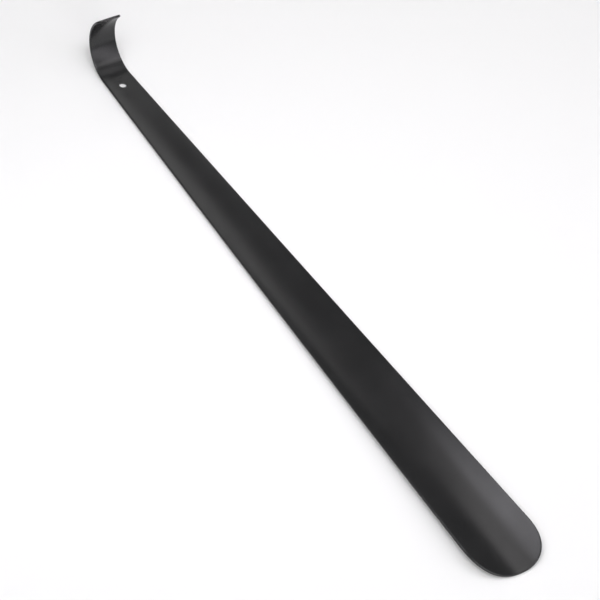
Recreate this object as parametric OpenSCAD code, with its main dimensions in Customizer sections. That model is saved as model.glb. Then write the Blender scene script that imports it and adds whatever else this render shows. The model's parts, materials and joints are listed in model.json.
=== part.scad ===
// Long shoehorn: one strip of sheet steel, blanked, rolled into a trough, hooked at the end and powder-coated.
// It lies on its back with the trough open upwards. +X points along the strip to the blade's tip, Y is the width.
// Every face is made in the flat blank first, at (s, q, n), and then placed:
// s runs along the strip from the tip, q across it from the middle, n up through the sheet from its mid-plane.

/* [Strip] */
// Length from the blade's tip to the outside of the hook
overall_l = 420; // [300:10:600]
// Thickness of the steel sheet
sheet_t = 1.2; // [1:0.1:2]
// Thickness of the powder coat on each face
coat_t = 0.1; // [0.05:0.05:0.2]
// Rounding of the steel's edges
edge_r = 0.4; // [0.2:0.05:0.45]

/* [Blade] */
// Inside radius that the blade is rolled to
blade_trough_r = 45; // [34:1:80]
// Width of the flat blank where the tip's rounding begins
blade_w = 43; // [34:1:48]
// Length of the rounded tip
tip_l = 26; // [15:1:40]
// Fullness of the tip: 2 is an ellipse, and more is squarer
tip_power = 2.4; // [2:0.1:3.5]

/* [Hook] */
// Width of the flat blank where the hook begins
neck_w = 17; // [13:1:24]
// Inside radius that the strip is rolled to where the hook begins
neck_trough_r = 80; // [45:5:200]
// Inside radius of the hook
hook_r = 18.5; // [13:0.5:30]
// Angle that the strip is bent through at the hook
hook_angle = 140; // [95:5:160]
// Width of the flat blank at the end of the hook
hook_end_w = 15; // [10:0.5:17]
// Corner radius at the end of the hook
corner_r = 3.5; // [1:0.5:4]
// Inside radius that the strip is rolled to at the end of the hook, where the bend has flattened it
hook_trough_r = 160; // [60:10:400]

/* [Hanging hole] */
// Diameter of the finished hole
hole_d = 4; // [3:0.5:7]
// Distance from the middle of the hole back to the start of the hook
hole_back = 6.5; // [4:0.5:40]

/* [Hidden] */

// Segments across the strip, an odd number so that it lies on a flat one, and rows along each stretch
across = 11;
tip_rows = 10;
shank_rows = 10;
hook_rows = 26;
corner_rows = 3;
row_count = tip_rows + shank_rows + hook_rows + corner_rows;

full_t = sheet_t + 2 * coat_t;
deg_per_rad = 180 / PI;
hook_mid_r = hook_r + full_t / 2;
// Distances from the tip to the start of the hook and to its end
s_bend = overall_l - hook_r - full_t;
s_end = s_bend + hook_mid_r * hook_angle / deg_per_rad;
hole_s = s_bend - hole_back;

// Half the blank's width at s, with a straight taper along the blade and shank and another along the hook
function half_w(s) = s < s_bend
    ? along(s, tip_l, s_bend, blade_w, neck_w) / 2
    : along(s, s_bend, s_end, neck_w, hook_end_w) / 2;

// A value that goes evenly from v0 at s0 to v1 at s1
function along(s, s0, s1, v0, v1) = v0 + (v1 - v0) * (s - s0) / (s1 - s0);

// [s, half width] of row i of the outline, set in from the blank's edge by inset
function row(i, inset) =
    i <= tip_rows ? tip_row(90 * i / tip_rows, inset) :
    i <= tip_rows + shank_rows ? plain_row(tip_l, s_bend, (i - tip_rows) / shank_rows, inset) :
    i <= row_count - corner_rows
        ? plain_row(s_bend, s_end - corner_r, (i - tip_rows - shank_rows) / hook_rows, inset) :
    corner_row(90 * (i - row_count + corner_rows) / corner_rows, inset);
function tip_row(a, inset) =
    let (s = inset + (tip_l - inset) * (1 - cos(a)))
    [s, (half_w(s) - inset) * pow(1 - pow(cos(a), tip_power), 1 / tip_power)];
function plain_row(s0, s1, f, inset) =
    let (s = s0 + (s1 - s0) * f)
    [s, half_w(s) - inset];
function corner_row(a, inset) =
    let (s = s_end - corner_r + (corner_r - inset) * sin(a))
    [s, half_w(s) - corner_r + (corner_r - inset) * cos(a)];

// Mid-plane radius of the trough at s: deepest in the blade, and flatter all the way to the end of the hook
function roll_r(s) =
    let (
        curve = s < s_bend
            ? along(max(s, tip_l), tip_l, s_bend, 1 / blade_trough_r, 1 / neck_trough_r)
            : along(s, s_bend, s_end, 1 / neck_trough_r, 1 / hook_trough_r)
    )
    1 / curve + full_t / 2;

// A point of the blank rolled into the trough, as [width, height], and then bent into the hook
function rolled(s, q, n) =
    let (r = roll_r(s), a = q / r * deg_per_rad)
    [(r - n) * sin(a), full_t / 2 + r - (r - n) * cos(a)];
function placed(s, q, n) =
    let (
        yz = rolled(s, q, n),
        a = max(0, s - s_bend) / hook_mid_r * deg_per_rad,
        centre_z = full_t + hook_r,
        r = centre_z - yz[1]
    )
    [overall_l / 2 - min(s, s_bend) - r * sin(a), yz[0], centre_z - r * cos(a)];

// The rounded edge as [inset, n] from the sheet's underside to its top, grown outwards by grow
function edge_steps(grow) =
    let (r = edge_r + grow, n0 = sheet_t / 2 - edge_r)
    [
        for (side = [-1, 1], a = side < 0 ? [-90, -45, 0] : [0, 45, 90])
            [edge_r - r * cos(a), side * n0 + r * sin(a)]
    ];

// One turn round the outline: the tip, down one side, across the end of the hook and back up the other side
loop_count = 2 * row_count + across;
function loop_point(j, inset, n) =
    let (
        i = j <= row_count ? j : j < row_count + across ? row_count : loop_count - j,
        k = min(max(j - row_count, 0), across),
        sw = i == 0 ? [inset, 0] : row(i, inset)
    )
    placed(sw[0], sw[1] * (1 - 2 * k / across), n);

// The inner points of the top or underside, row by row
inner_count = (row_count - 1) * (across - 1);
function inner_points(inset, n) = [
    for (i = [1:row_count - 1], k = [1:across - 1])
        let (sw = row(i, inset))
        placed(sw[0], sw[1] * (1 - 2 * k / across), n)
];

// Index of the point at row i, place k across, on the side whose loop and inner points start at these indices
function grid_index(i, k, loop_start, inner_start) =
    i == row_count ? loop_start + row_count + k :
    k == 0 ? loop_start + i :
    k == across ? loop_start + loop_count - i :
    inner_start + (i - 1) * (across - 1) + k - 1;

function side_faces(loop_start, inner_start, top) = [
    for (k = [0:across - 1])
        turned([
            loop_start,
            grid_index(1, k, loop_start, inner_start),
            grid_index(1, k + 1, loop_start, inner_start)
        ], top),
    for (i = [1:row_count - 1], k = [0:across - 1], half = [0, 1])
        let (
            a = grid_index(i, k, loop_start, inner_start),
            b = grid_index(i + 1, k, loop_start, inner_start),
            c = grid_index(i + 1, k + 1, loop_start, inner_start),
            d = grid_index(i, k + 1, loop_start, inner_start)
        )
        turned(half == 0 ? [a, b, c] : [a, c, d], top)
];
function turned(face, top) = top ? face : [face[0], face[2], face[1]];

// The whole strip as one closed skin, grown outwards from the steel by grow
module strip(grow) {
    steps = edge_steps(grow);
    layers = len(steps);
    loops = [
        for (e = steps, j = [0:loop_count - 1])
            loop_point(j, e[0], e[1])
    ];
    under_start = len(loops);
    top_start = under_start + inner_count;
    edge_faces = [
        for (m = [0:layers - 2], j = [0:loop_count - 1], half = [0, 1])
            let (
                a = m * loop_count + j,
                b = m * loop_count + (j + 1) % loop_count,
                c = b + loop_count,
                d = a + loop_count
            )
            half == 0 ? [a, c, b] : [a, d, c]
    ];
    polyhedron(
        points = concat(
            loops,
            inner_points(steps[0][0], steps[0][1]),
            inner_points(steps[layers - 1][0], steps[layers - 1][1])
        ),
        faces = concat(
            edge_faces,
            side_faces(0, under_start, false),
            side_faces((layers - 1) * loop_count, top_start, true)
        ),
        convexity = 6
    );
}

module hanging_bore(d) {
    translate([overall_l / 2 - hole_s, 0, -full_t])
        cylinder(d = d, h = 4 * full_t, $fn = 64);
}

module steel_blank() {
    difference() {
        strip(0);
        hanging_bore(hole_d + 2 * coat_t);
    }
}

// Blade, shank and hook in one piece of steel
module steel_body() {
    color("lightgray") steel_blank();
}

// The film of powder coat all over the steel and through the hanging hole
module black_coating() {
    color("#262628")
        difference() {
            strip(coat_t);
            steel_blank();
            hanging_bore(hole_d);
        }
}

steel_body();
black_coating();
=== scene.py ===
import json
from math import asin, cos, pi, radians, sin

import bmesh
import bpy
import numpy as np
from mathutils import Matrix, Vector


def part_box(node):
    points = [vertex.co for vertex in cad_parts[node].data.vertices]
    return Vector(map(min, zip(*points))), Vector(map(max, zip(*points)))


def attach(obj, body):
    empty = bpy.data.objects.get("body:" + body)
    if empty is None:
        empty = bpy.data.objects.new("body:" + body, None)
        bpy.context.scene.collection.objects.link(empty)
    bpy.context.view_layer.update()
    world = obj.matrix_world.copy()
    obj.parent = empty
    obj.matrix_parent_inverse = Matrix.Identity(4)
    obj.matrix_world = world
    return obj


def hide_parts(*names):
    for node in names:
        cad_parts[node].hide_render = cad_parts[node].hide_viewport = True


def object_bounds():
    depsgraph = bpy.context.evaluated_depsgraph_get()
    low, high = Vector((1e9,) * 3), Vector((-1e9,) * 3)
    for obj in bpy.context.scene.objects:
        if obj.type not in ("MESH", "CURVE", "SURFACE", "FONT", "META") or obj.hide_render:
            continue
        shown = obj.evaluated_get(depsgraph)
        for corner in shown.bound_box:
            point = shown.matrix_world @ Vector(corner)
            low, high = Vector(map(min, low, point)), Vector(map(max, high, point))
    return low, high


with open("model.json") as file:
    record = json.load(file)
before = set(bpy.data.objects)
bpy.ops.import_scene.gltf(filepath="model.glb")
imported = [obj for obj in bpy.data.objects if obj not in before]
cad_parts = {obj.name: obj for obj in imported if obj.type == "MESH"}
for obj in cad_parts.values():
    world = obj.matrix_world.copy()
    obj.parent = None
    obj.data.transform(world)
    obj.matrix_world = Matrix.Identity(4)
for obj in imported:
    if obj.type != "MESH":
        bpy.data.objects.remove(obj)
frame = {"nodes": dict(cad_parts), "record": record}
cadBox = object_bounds()
print("frame loaded")

mm = 0.001

# Long shoehorn: one strip of sheet steel, rolled into a trough, hooked at the end, in a satin black powder coat.
# The coat is made in the flat blank first, at (s, q, n), and then placed:
# s runs along the strip from the blade's tip, q across it from the middle, n up through the sheet.
coatLow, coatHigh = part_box("black_coating")
hangingHole = frame["record"]["mounts"][0]

strip = {
    "length": coatHigh.x - coatLow.x,
    "thickness": hangingHole["dims"]["length_mm"] * mm,
    "edgeRound": 0.5 * mm,  # outside radius of the edges, coat included
    "steelRound": 0.4 * mm,  # the same radius on the steel, which the coat grows out from
    "bladeRoll": 45 * mm,  # inside radius of the trough at the blade
    "bladeWidth": 43 * mm,
    "tipLength": 26 * mm,
    "tipPower": 2.4,
    "neckWidth": 17 * mm,
    "neckRoll": 80 * mm,
    "hookRadius": 18.5 * mm,
    "hookAngle": radians(140),
    "hookWidth": 15 * mm,
    "cornerRound": 3.5 * mm,
    "hookRoll": 160 * mm,
    "holeRadius": hangingHole["dims"]["r_mm"] * mm,
    "holeX": hangingHole["pos_m"][0],
    "holeRim": 0.25 * mm,  # softness of the coat over the rim of the hole
}

mesh = {
    "across": 40,  # columns, an even number
    "tipSide": 12,  # rows on each side of the rounded tip
    "shankRows": 110,
    "holeCells": 20,  # rows and columns taken up by the patch round the hole
    "holePatch": 4.2 * mm,  # half the length of that patch
    "holeRings": 6,
    "neckRows": 6,
    "hookRows": 96,
    "cornerSide": 6,
    "holeCrowding": 1.25,  # above 1, the rings stand closer together towards the hole
    "edgeSteps": 6,  # steps in each quarter of the rounded edge
    "rimSteps": 4,
    "outlineSamples": 600,  # points used to measure along each stretch of the outline
}

fullT = strip["thickness"]
bendStart = strip["length"] - strip["hookRadius"] - fullT
bendRadius = strip["hookRadius"] + fullT / 2
stripEnd = bendStart + bendRadius * strip["hookAngle"]
holeS = strip["length"] / 2 - strip["holeX"]


def ramp(s, s0, s1, v0, v1):
    return v0 + (v1 - v0) * (s - s0) / (s1 - s0)


def halfWidth(s):
    if s < bendStart:
        return ramp(s, strip["tipLength"], bendStart, strip["bladeWidth"], strip["neckWidth"]) / 2
    return ramp(s, bendStart, stripEnd, strip["neckWidth"], strip["hookWidth"]) / 2


def rollRadius(s):
    blade, neck, hook = (1 / strip[k] for k in ("bladeRoll", "neckRoll", "hookRoll"))
    if s < bendStart:
        curve = ramp(max(s, strip["tipLength"]), strip["tipLength"], bendStart, blade, neck)
    else:
        curve = ramp(s, bendStart, stripEnd, neck, hook)
    return 1 / curve + fullT / 2


def placed(s, q, n):
    roll = rollRadius(s)
    y = (roll - n) * sin(q / roll)
    z = fullT / 2 + roll - (roll - n) * cos(q / roll)
    bend = max(0, s - bendStart) / bendRadius
    centreZ = fullT + strip["hookRadius"]
    r = centreZ - z
    return Vector((strip["length"] / 2 - min(s, bendStart) - r * sin(bend), y, centreZ - r * cos(bend)))


# A point on the blank's outline, set in from its edge: u is 0 to 1 round the tip, 1 to 2 along the shank,
# 2 to 3 along the hook, 3 to 4 round the corner and 4 to 5 across the end to the middle.
def outlinePoint(u, inset):
    corner = strip["cornerRound"]
    if u <= 1:
        a = u * pi / 2
        s = inset + (strip["tipLength"] - inset) * (1 - cos(a))
        power = strip["tipPower"]
        return s, (halfWidth(s) - inset) * (1 - cos(a) ** power) ** (1 / power)
    if u <= 2:
        s = ramp(u, 1, 2, strip["tipLength"], bendStart)
        return s, halfWidth(s) - inset
    if u <= 3:
        s = ramp(u, 2, 3, bendStart, stripEnd - corner)
        return s, halfWidth(s) - inset
    a = min(u - 3, 1) * pi / 2
    s = stripEnd - corner + (corner - inset) * sin(a)
    half = halfWidth(s) - corner + (corner - inset) * cos(a)
    return s, half * (1 - max(0, u - 4))


# Values of u at even distances along the outline
def evenSteps(u0, u1, count):
    us = np.linspace(u0, u1, mesh["outlineSamples"])
    points = np.array([outlinePoint(u, 0) for u in us])
    run = np.concatenate(([0], np.cumsum(np.hypot(*np.diff(points, axis=0).T))))
    return list(np.interp(np.linspace(0, run[-1], count + 1), run, us))


def shankU(s):
    return ramp(s, strip["tipLength"], bendStart, 1, 2)


columns = mesh["across"]
middle = columns // 2
tipSteps = evenSteps(0, 1, middle + mesh["tipSide"])
endSteps = evenSteps(3, 5, mesh["cornerSide"] + middle)
holeU0, holeU1 = shankU(holeS - mesh["holePatch"]), shankU(holeS + mesh["holePatch"])
sideSteps = (
    tipSteps[middle:]
    + evenSteps(1, holeU0, mesh["shankRows"])[1:]
    + evenSteps(holeU0, holeU1, mesh["holeCells"])[1:]
    + evenSteps(holeU1, 2, mesh["neckRows"])[1:]
    + evenSteps(2, 3, mesh["hookRows"])[1:]
    + endSteps[1 : mesh["cornerSide"] + 1]
)
rows = len(sideSteps) - 1
tipRow = mesh["tipSide"]
holeRow = tipRow + mesh["shankRows"]
endRow = rows - mesh["cornerSide"]
tipEdge = tipSteps[middle::-1]  # from the side to the middle of the tip
endEdge = endSteps[mesh["cornerSide"] :]  # and the same across the hook's end


# One turn round the outline as (u, side, row, column): the tip, one side, the end, and the other side
def outlineTurn():
    turn = [(tipEdge[k], 1, 0, k) for k in range(middle + 1)]
    turn += [(tipEdge[k], -1, 0, columns - k) for k in range(middle - 1, -1, -1)]
    turn += [(sideSteps[i], -1, i, columns) for i in range(1, rows)]
    turn += [(endEdge[k], -1, rows, columns - k) for k in range(middle + 1)]
    turn += [(endEdge[k], 1, rows, k) for k in range(middle - 1, -1, -1)]
    turn += [(sideSteps[i], 1, i, 0) for i in range(rows - 1, 0, -1)]
    return turn


# Fills the rows between i0 and i1 from the four edges round them, so that no faces pinch at the rounded ends
def fillPatch(grid, i0, i1):
    left, right = grid[i0 : i1 + 1, 0].copy(), grid[i0 : i1 + 1, columns].copy()
    near, far = grid[i0].copy(), grid[i1].copy()
    for i in range(i0 + 1, i1):
        v = (i - i0) / (i1 - i0)
        for k in range(1, columns):
            w = k / columns
            corners = (1 - v) * ((1 - w) * near[0] + w * near[-1]) + v * ((1 - w) * far[0] + w * far[-1])
            sides = (1 - w) * left[i - i0] + w * right[i - i0]
            grid[i, k] = (1 - v) * near[k] + v * far[k] + sides - corners


def flatGrid(inset):
    grid = np.zeros((rows + 1, columns + 1, 2))
    for i, u in enumerate(sideSteps):
        s, half = outlinePoint(u, inset)
        for k in range(columns + 1):
            grid[i, k] = s, half * (1 - 2 * k / columns)
    for u, side, i, k in outlineTurn():
        s, half = outlinePoint(u, inset)
        grid[i, k] = s, side * half
    fillPatch(grid, 0, tipRow)
    fillPatch(grid, endRow, rows)
    return grid


# The rounded edge as (inset, n), from the underside to the top
def edgeProfile():
    r, steps = strip["edgeRound"], mesh["edgeSteps"]
    profile = []
    for side in (-1, 1):
        for k in range(steps + 1):
            a = pi / 2 * (k / steps - (1 if side < 0 else 0))
            profile.append((strip["steelRound"] - r * cos(a), side * (fullT / 2 - r) + r * sin(a)))
    return profile


# A point on the round of the hole, whose wall stands straight up through the strip
def holePoint(radius, angle, n):
    s = holeS + radius * cos(angle)
    roll = rollRadius(s)
    return placed(s, roll * asin(radius * sin(angle) / (roll - n)), n)


def addRing(bm, a, b):
    for j in range(len(a)):
        m = (j + 1) % len(a)
        bm.faces.new((a[j], a[m], b[m], b[j]))


def coatSkin():
    bm = bmesh.new()
    # This mask marks the edges and the rim of the hole, which the finish paints lighter: partly rubbed film, partly
    # a painted highlight
    wearAndSheen = bm.verts.layers.float.new("edgeWearAndSheen")
    profile = edgeProfile()
    turn = outlineTurn()
    loops = []
    for inset, n in profile:
        loop = []
        for u, side, _, _ in turn:
            s, half = outlinePoint(u, inset)
            vert = bm.verts.new(placed(s, side * half, n))
            vert[wearAndSheen] = 1
            loop.append(vert)
        loops.append(loop)
    for a, b in zip(loops, loops[1:]):
        addRing(bm, a, b)

    grid = flatGrid(profile[0][0])
    cells = mesh["holeCells"]
    k0, k1 = middle - cells // 2, middle + cells // 2
    i0, i1 = holeRow, holeRow + cells
    rimLoops = []
    for loop, n in ((loops[0], -fullT / 2), (loops[-1], fullT / 2)):
        verts = {}
        for (_, _, i, k), vert in zip(turn, loop):
            verts[i, k] = vert
        for i in range(1, rows):
            for k in range(1, columns):
                if not (i0 < i < i1 and k0 < k < k1):
                    verts[i, k] = bm.verts.new(placed(*grid[i, k], n))
        for i in range(rows):
            for k in range(columns):
                if not (i0 <= i < i1 and k0 <= k < k1):
                    bm.faces.new((verts[i, k], verts[i + 1, k], verts[i + 1, k + 1], verts[i, k + 1]))

        # The square patch closes in on the hole, ring by ring
        square = [(i0, k) for k in range(k0, k1)] + [(i, k1) for i in range(i0, i1)]
        square += [(i1, k) for k in range(k1, k0, -1)] + [(i, k0) for i in range(i1, i0, -1)]
        ring = [verts[c] for c in square]
        count = len(square)
        rimRadius = strip["holeRadius"] + strip["holeRim"]
        starts = np.array([grid[c] for c in square])
        firstCorner = 3 * pi / 4
        angles = [firstCorner + 2 * pi * j / count for j in range(count)]
        ends = np.array([(holeS + rimRadius * cos(a), rimRadius * sin(a)) for a in angles])
        for t in range(1, mesh["holeRings"]):
            share = 1 - (1 - t / mesh["holeRings"]) ** mesh["holeCrowding"]
            points = starts + (ends - starts) * share
            inner = [bm.verts.new(placed(s, q, n)) for s, q in points]
            addRing(bm, ring, inner)
            ring = inner
        for t in range(mesh["rimSteps"] + 1):
            a = pi / 2 * t / mesh["rimSteps"]
            radius = rimRadius - strip["holeRim"] * sin(a)
            level = n - (1 if n > 0 else -1) * strip["holeRim"] * (1 - cos(a))
            inner = [bm.verts.new(holePoint(radius, angle, level)) for angle in angles]
            for vert in inner:
                vert[wearAndSheen] = 1
            addRing(bm, ring, inner)
            ring = inner
        rimLoops.append(ring)
    addRing(bm, rimLoops[0], rimLoops[1])
    bmesh.ops.recalc_face_normals(bm, faces=bm.faces)
    return bm


def pieceFrom(name, bm, material):
    data = bpy.data.meshes.new(name)
    bm.to_mesh(data)
    bm.free()
    data.shade_smooth()
    data.materials.append(material)
    piece = bpy.data.objects.new(name, data)
    bpy.context.scene.collection.objects.link(piece)
    return piece


# Node groups for the finishes, then the finishes that use them
def newGroup(name, inputs, outputs):
    group = bpy.data.node_groups.new(name, "ShaderNodeTree")
    for label, kind, value in inputs:
        socket = group.interface.new_socket(label, in_out="INPUT", socket_type=kind)
        socket.default_value = value
    for label, kind in outputs:
        group.interface.new_socket(label, in_out="OUTPUT", socket_type=kind)
    return group, group.nodes.new("NodeGroupInput"), group.nodes.new("NodeGroupOutput")


# A node with its own settings and the values of its inputs, by name or by place
def addNode(tree, kind, settings=None, inputs=None):
    node = tree.nodes.new(kind)
    for label, value in (settings or {}).items():
        setattr(node, label, value)
    for label, value in (inputs or {}).items():
        node.inputs[label].default_value = value
    return node


# Slow drift of tone: the tint a little lighter and darker, and the same drift as a mask
def makeToneDrift():
    group, given, result = newGroup(
        "toneDrift",
        [
            ("Tint", "NodeSocketColor", (0.5, 0.5, 0.5, 1)),
            ("Scale", "NodeSocketFloat", 20),
            ("Stretch", "NodeSocketVector", (1, 1, 1)),
            ("Amount", "NodeSocketFloat", 0.1),
        ],
        [("Color", "NodeSocketColor"), ("Mask", "NodeSocketFloat")],
    )
    link = group.links.new
    place = addNode(group, "ShaderNodeTexCoord")
    stretched = addNode(group, "ShaderNodeVectorMath", {"operation": "MULTIPLY"})
    noise = addNode(group, "ShaderNodeTexNoise", inputs={"Detail": 4, "Roughness": 0.55})
    centred = addNode(group, "ShaderNodeMath", {"operation": "SUBTRACT"}, {1: 0.5})
    factor = addNode(group, "ShaderNodeMath", {"operation": "MULTIPLY_ADD"}, {2: 1})
    toned = addNode(group, "ShaderNodeVectorMath", {"operation": "SCALE"})
    link(place.outputs["Object"], stretched.inputs[0])
    link(given.outputs["Stretch"], stretched.inputs[1])
    link(stretched.outputs["Vector"], noise.inputs["Vector"])
    link(given.outputs["Scale"], noise.inputs["Scale"])
    link(noise.outputs["Fac"], centred.inputs[0])
    link(centred.outputs["Value"], factor.inputs[0])
    link(given.outputs["Amount"], factor.inputs[1])
    link(given.outputs["Tint"], toned.inputs[0])
    link(factor.outputs["Value"], toned.inputs["Scale"])
    link(toned.outputs["Vector"], result.inputs["Color"])
    link(noise.outputs["Fac"], result.inputs["Mask"])
    return group


# Relief of a surface in two sizes, a soft swell and a fine tooth, as a height
def makeFineRelief():
    group, given, result = newGroup(
        "fineRelief",
        [
            ("Stretch", "NodeSocketVector", (1, 1, 1)),
            ("Swell Scale", "NodeSocketFloat", 500),
            ("Tooth Scale", "NodeSocketFloat", 2500),
            ("Tooth Share", "NodeSocketFloat", 0.3),
        ],
        [("Height", "NodeSocketFloat")],
    )
    link = group.links.new
    place = addNode(group, "ShaderNodeTexCoord")
    stretched = addNode(group, "ShaderNodeVectorMath", {"operation": "MULTIPLY"})
    swell = addNode(group, "ShaderNodeTexNoise", inputs={"Detail": 1, "Roughness": 0.4})
    tooth = addNode(group, "ShaderNodeTexNoise", inputs={"Detail": 2, "Roughness": 0.6})
    mixed = addNode(group, "ShaderNodeMix", {"data_type": "FLOAT"})
    link(place.outputs["Object"], stretched.inputs[0])
    link(given.outputs["Stretch"], stretched.inputs[1])
    for noise, scale in ((swell, "Swell Scale"), (tooth, "Tooth Scale")):
        link(stretched.outputs["Vector"], noise.inputs["Vector"])
        link(given.outputs[scale], noise.inputs["Scale"])
    link(given.outputs["Tooth Share"], mixed.inputs["Factor"])
    link(swell.outputs["Fac"], mixed.inputs["A"])
    link(tooth.outputs["Fac"], mixed.inputs["B"])
    link(mixed.outputs["Result"], result.inputs["Height"])
    return group


toneDrift = makeToneDrift()
fineRelief = makeFineRelief()
print("finish groups made")


def newFinish(name):
    material = bpy.data.materials.new(name)
    material.use_nodes = True
    tree = material.node_tree
    return material, tree, tree.nodes["Principled BSDF"]


def useGroup(tree, group, inputs):
    return addNode(tree, "ShaderNodeGroup", {"node_tree": group}, inputs)


def addRelief(tree, shader, look):
    given = {"Swell Scale": look["swellScale"], "Tooth Scale": look["toothScale"], "Tooth Share": look["toothShare"]}
    relief = useGroup(tree, fineRelief, {**given, "Stretch": look["grain"]})
    bump = addNode(tree, "ShaderNodeBump", inputs={"Distance": look["reliefDepth"]})
    tree.links.new(relief.outputs["Height"], bump.inputs["Height"])
    tree.links.new(bump.outputs["Normal"], shader.inputs["Normal"])


# Spreads a drift mask, which keeps near the middle of 0 to 1, over low to high
def spreadMask(tree, mask, low, high):
    limits = {"From Min": 0.3, "From Max": 0.7, "To Min": low, "To Max": high}
    spread = addNode(tree, "ShaderNodeMapRange", inputs=limits)
    tree.links.new(mask, spread.inputs["Value"])
    return spread.outputs["Result"]


powderCoat = {
    "tint": (0.0105, 0.0105, 0.0110, 1),
    "driftScale": 45,
    "driftAmount": 0.5,
    "roughLow": 0.21,
    "roughHigh": 0.27,
    "grain": (1, 1, 1),  # the orange peel has no direction
    "swellScale": 520,
    "toothScale": 2600,
    "toothShare": 0.32,
    "reliefDepth": 0.012 * mm,
    "rubAndSheenTint": (0.015, 0.015, 0.0155, 1),  # on the edges and the rim of the hole: lighter than the coat, partly rubbed film and partly a painted highlight
    "rubSheenScale": 160,
    "rubSheenLow": 0.1,
    "rubSheenHigh": 0.9,
    "rubShine": 0.06,  # how much smoother a rubbed spot is
}


def makePowderCoat(look):
    material, tree, shader = newFinish("satinBlackPowderCoat")
    link = tree.links.new
    given = {"Tint": look["tint"], "Scale": look["driftScale"], "Amount": look["driftAmount"]}
    drift = useGroup(tree, toneDrift, given)
    addRelief(tree, shader, look)

    # Where the film is thin on the edges and gets rubbed, it is a little shinier; it is also a little lighter there,
    # which is partly the rubbed film and partly a painted highlight along the edges
    edge = addNode(tree, "ShaderNodeAttribute", {"attribute_name": "edgeWearAndSheen"})
    patches = useGroup(tree, toneDrift, {"Scale": look["rubSheenScale"]})
    wornAndSheen = addNode(tree, "ShaderNodeMath", {"operation": "MULTIPLY"})
    link(edge.outputs["Fac"], wornAndSheen.inputs[0])
    link(spreadMask(tree, patches.outputs["Mask"], look["rubSheenLow"], look["rubSheenHigh"]), wornAndSheen.inputs[1])
    tone = addNode(tree, "ShaderNodeMix", {"data_type": "RGBA"}, {"B": look["rubAndSheenTint"]})
    link(wornAndSheen.outputs["Value"], tone.inputs["Factor"])
    link(drift.outputs["Color"], tone.inputs["A"])
    link(tone.outputs["Result"], shader.inputs["Base Color"])
    rough = addNode(tree, "ShaderNodeMath", {"operation": "MULTIPLY_ADD"}, {1: -look["rubShine"]})
    link(wornAndSheen.outputs["Value"], rough.inputs[0])
    link(spreadMask(tree, drift.outputs["Mask"], look["roughLow"], look["roughHigh"]), rough.inputs[2])
    link(rough.outputs["Value"], shader.inputs["Roughness"])
    return material


sheetSteel = {
    "tint": (0.56, 0.55, 0.54, 1),
    "driftScale": 900,
    "driftAmount": 0.3,
    "roughLow": 0.26,
    "roughHigh": 0.40,
    "grain": (0.04, 1, 1),  # the rolling grain runs along the strip
    "swellScale": 1200,
    "toothScale": 5200,
    "toothShare": 0.5,
    "reliefDepth": 0.006 * mm,
}


def makeSheetSteel(look):
    material, tree, shader = newFinish("brushedSheetSteel")
    shader.inputs["Metallic"].default_value = 1
    given = {"Tint": look["tint"], "Scale": look["driftScale"], "Amount": look["driftAmount"]}
    drift = useGroup(tree, toneDrift, {**given, "Stretch": look["grain"]})
    addRelief(tree, shader, look)
    rough = spreadMask(tree, drift.outputs["Mask"], look["roughLow"], look["roughHigh"])
    tree.links.new(drift.outputs["Color"], shader.inputs["Base Color"])
    tree.links.new(rough, shader.inputs["Roughness"])
    return material


coat = pieceFrom("powderCoatSkin", coatSkin(), makePowderCoat(powderCoat))
evenShading = coat.modifiers.new("evenShading", "WEIGHTED_NORMAL")
evenShading.weight = 100
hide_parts("black_coating")
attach(coat, "root")
print("powder coat made")

steel = frame["nodes"]["steel_body"]
steelFinish = makeSheetSteel(sheetSteel)
for place in steel.material_slots:
    place.material = steelFinish
print("steel finished")

# Floor, light and camera
studio = {
    "floorSize": 14,
    "floorTint": (0.86, 0.86, 0.86, 1),
    "floorDriftScale": 2,
    "floorDriftAmount": 0.02,
    "floorRough": 0.9,
    "floorSpecular": 0.1,
    "floorDrop": 0.05 * mm,  # so that the underside never flickers against the floor
    "air": (0.154, 0.154, 0.154, 1),
    "airSeen": (1, 1, 1, 1),
}

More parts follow.
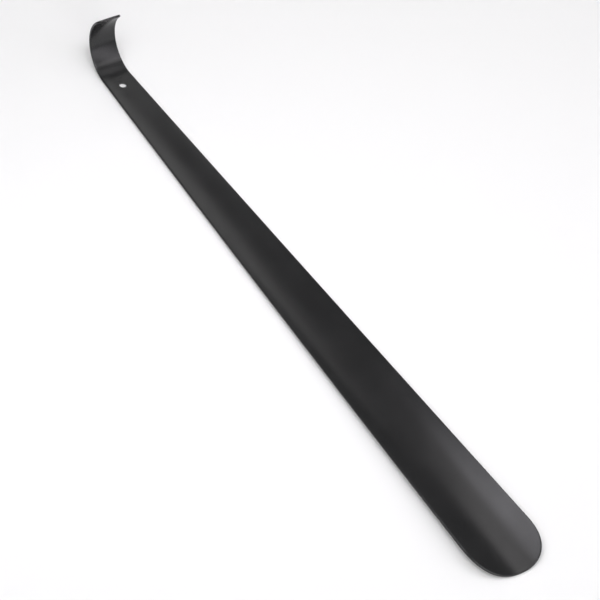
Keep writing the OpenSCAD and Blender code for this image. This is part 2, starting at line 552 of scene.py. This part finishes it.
# Softboxes: glow is the brightness of the panel itself, and aim is the point that it faces
lamps = {
    "handleBox": {  # seen in the handle's left half
        "at": (-0.84, 0.65, 0.6),
        "aim": (-0.84, 0.65, 0),
        "size": (0.52, 0.4),
        "glow": 1.05,
        "tint": (1.0, 0.99, 0.98),
    },
    "handleStrip": {  # lifts the neck
        "at": (-0.975, 0.325, 0.6),
        "aim": (-0.975, 0.325, 0),
        "size": (0.25, 0.22),
        "glow": 6.5,
        "tint": (1.0, 0.99, 0.98),
    },
    "bladeStrip": {  # seen in the blade's right half
        "at": (-0.04, -0.12, 0.38),
        "aim": (-0.04, -0.12, 0),
        "size": (0.1, 0.36),
        "glow": 4.0,
        "tint": (0.97, 0.95, 1.0),
    },
    "bladeBox": {  # seen down the blade's middle
        "at": (-0.04, 0.18, 0.38),
        "aim": (-0.04, 0.18, 0),
        "size": (0.1, 0.24),
        "glow": 1.65,
        "tint": (1.0, 0.97, 0.98),
    },
    "rimStrip": {  # a streak along the handle's right edge
        "at": (-0.67, 0.155, 0.6),
        "aim": (-0.67, 0.155, 0),
        "size": (0.24, 0.05),
        "glow": 2.4,
        "tint": (1.0, 0.99, 0.98),
    },
    "hookBox": {  # seen in the hook
        "at": (0.5, 0.42, 0.55),
        "aim": (-0.2, 0.0, 0.02),
        "size": (0.28, 0.95),
        "glow": 1.9,
        "tint": (0.97, 0.94, 1.0),
    },
    "hookFill": {  # evens out the start of the hook
        "at": (-0.45, 0.96, 2.0),
        "aim": (-0.2, 0.0, 0.02),
        "size": (0.84, 0.9),
        "glow": 0.8,
        "tint": (1.0, 0.98, 1.0),
    },
    "frontBox": {  # lights the floor
        "at": (0.9, -1.2, 2.2),
        "aim": (0, 0, 0),
        "size": (2.2, 2.2),
        "glow": 3.1,
        "tint": (1.0, 1.0, 1.0),
    },
    "tipBox": {  # fill from the tip's end
        "at": (1.9, -0.5, 0.95),
        "aim": (0, 0, 0),
        "size": (1.2, 0.9),
        "glow": 3.2,
        "tint": (1.0, 1.0, 1.0),
    },
    "sideBox": {  # fill from the far side
        "at": (0.4, 1.9, 0.9),
        "aim": (0, 0, 0),
        "size": (1.4, 0.9),
        "glow": 1.8,
        "tint": (1.0, 1.0, 1.0),
    },
}


def makeFloor():
    material, tree, shader = newFinish("paleFloor")
    shader.inputs["Roughness"].default_value = studio["floorRough"]
    shader.inputs["Specular IOR Level"].default_value = studio["floorSpecular"]
    given = {"Tint": studio["floorTint"], "Scale": studio["floorDriftScale"], "Amount": studio["floorDriftAmount"]}
    drift = useGroup(tree, toneDrift, given)
    tree.links.new(drift.outputs["Color"], shader.inputs["Base Color"])
    bm = bmesh.new()
    bmesh.ops.create_grid(bm, x_segments=1, y_segments=1, size=studio["floorSize"] / 2)
    floor = pieceFrom("floor", bm, material)
    floor.location.z = cadBox[0][2] - studio["floorDrop"]


def aimed(at, aim):
    return (Vector(aim) - Vector(at)).to_track_quat("-Z", "Y").to_euler()


def addLamp(name, lamp):
    width, height = lamp["size"]
    data = bpy.data.lights.new(name, "AREA")
    data.shape = "RECTANGLE"
    data.size, data.size_y = width, height
    data.energy = lamp["glow"] * pi * width * height
    data.color = lamp["tint"]
    light = bpy.data.objects.new(name, data)
    light.location = lamp["at"]
    light.rotation_euler = aimed(lamp["at"], lamp["aim"])
    light.visible_camera = False
    bpy.context.scene.collection.objects.link(light)


# The air is dim, so that the black finish keeps its depth, but it is seen as white behind the floor
def makeAir():
    world = bpy.data.worlds.new("studioAir")
    world.use_nodes = True
    tree = world.node_tree
    dim = tree.nodes["Background"]
    dim.inputs["Color"].default_value = studio["air"]
    seen = addNode(tree, "ShaderNodeBackground", inputs={"Color": studio["airSeen"]})
    path = addNode(tree, "ShaderNodeLightPath")
    mixed = addNode(tree, "ShaderNodeMixShader")
    tree.links.new(path.outputs["Is Camera Ray"], mixed.inputs["Fac"])
    tree.links.new(dim.outputs["Background"], mixed.inputs[1])
    tree.links.new(seen.outputs["Background"], mixed.inputs[2])
    tree.links.new(mixed.outputs["Shader"], tree.nodes["World Output"].inputs["Surface"])
    bpy.context.scene.world = world


makeFloor()
for name, lamp in lamps.items():
    addLamp(name, lamp)
makeAir()
print("studio made")

cameraView = {
    "azimuth": radians(51.85),
    "elevation": radians(44.9),
    "roll": radians(8.77),
    "distance": 2.0,
    "lens": 229.5,
    "sensor": 36.0,
    "centre": (0, 0, 10 * mm),  # the point looked at, moved in the picture by the next two
    "right": 0.18 * mm,
    "up": -6.66 * mm,
}


def addCamera(view):
    a, e, r = view["azimuth"], view["elevation"], view["roll"]
    back = Vector((sin(a) * cos(e), -cos(a) * cos(e), sin(e)))
    level = Vector((cos(a), sin(a), 0))
    upright = back.cross(level)
    right = cos(r) * level + sin(r) * upright
    up = cos(r) * upright - sin(r) * level
    data = bpy.data.cameras.new("camera")
    data.lens = view["lens"]
    data.sensor_width = view["sensor"]
    camera = bpy.data.objects.new("camera", data)
    aim = Vector(view["centre"]) + right * view["right"] + up * view["up"]
    place = aim + back * view["distance"]
    camera.matrix_world = Matrix.Translation(place) @ Matrix((right, up, back)).transposed().to_4x4()
    bpy.context.scene.collection.objects.link(camera)
    bpy.context.scene.camera = camera


addCamera(cameraView)
bpy.context.scene.view_settings.view_transform = "Standard"
print("camera placed")
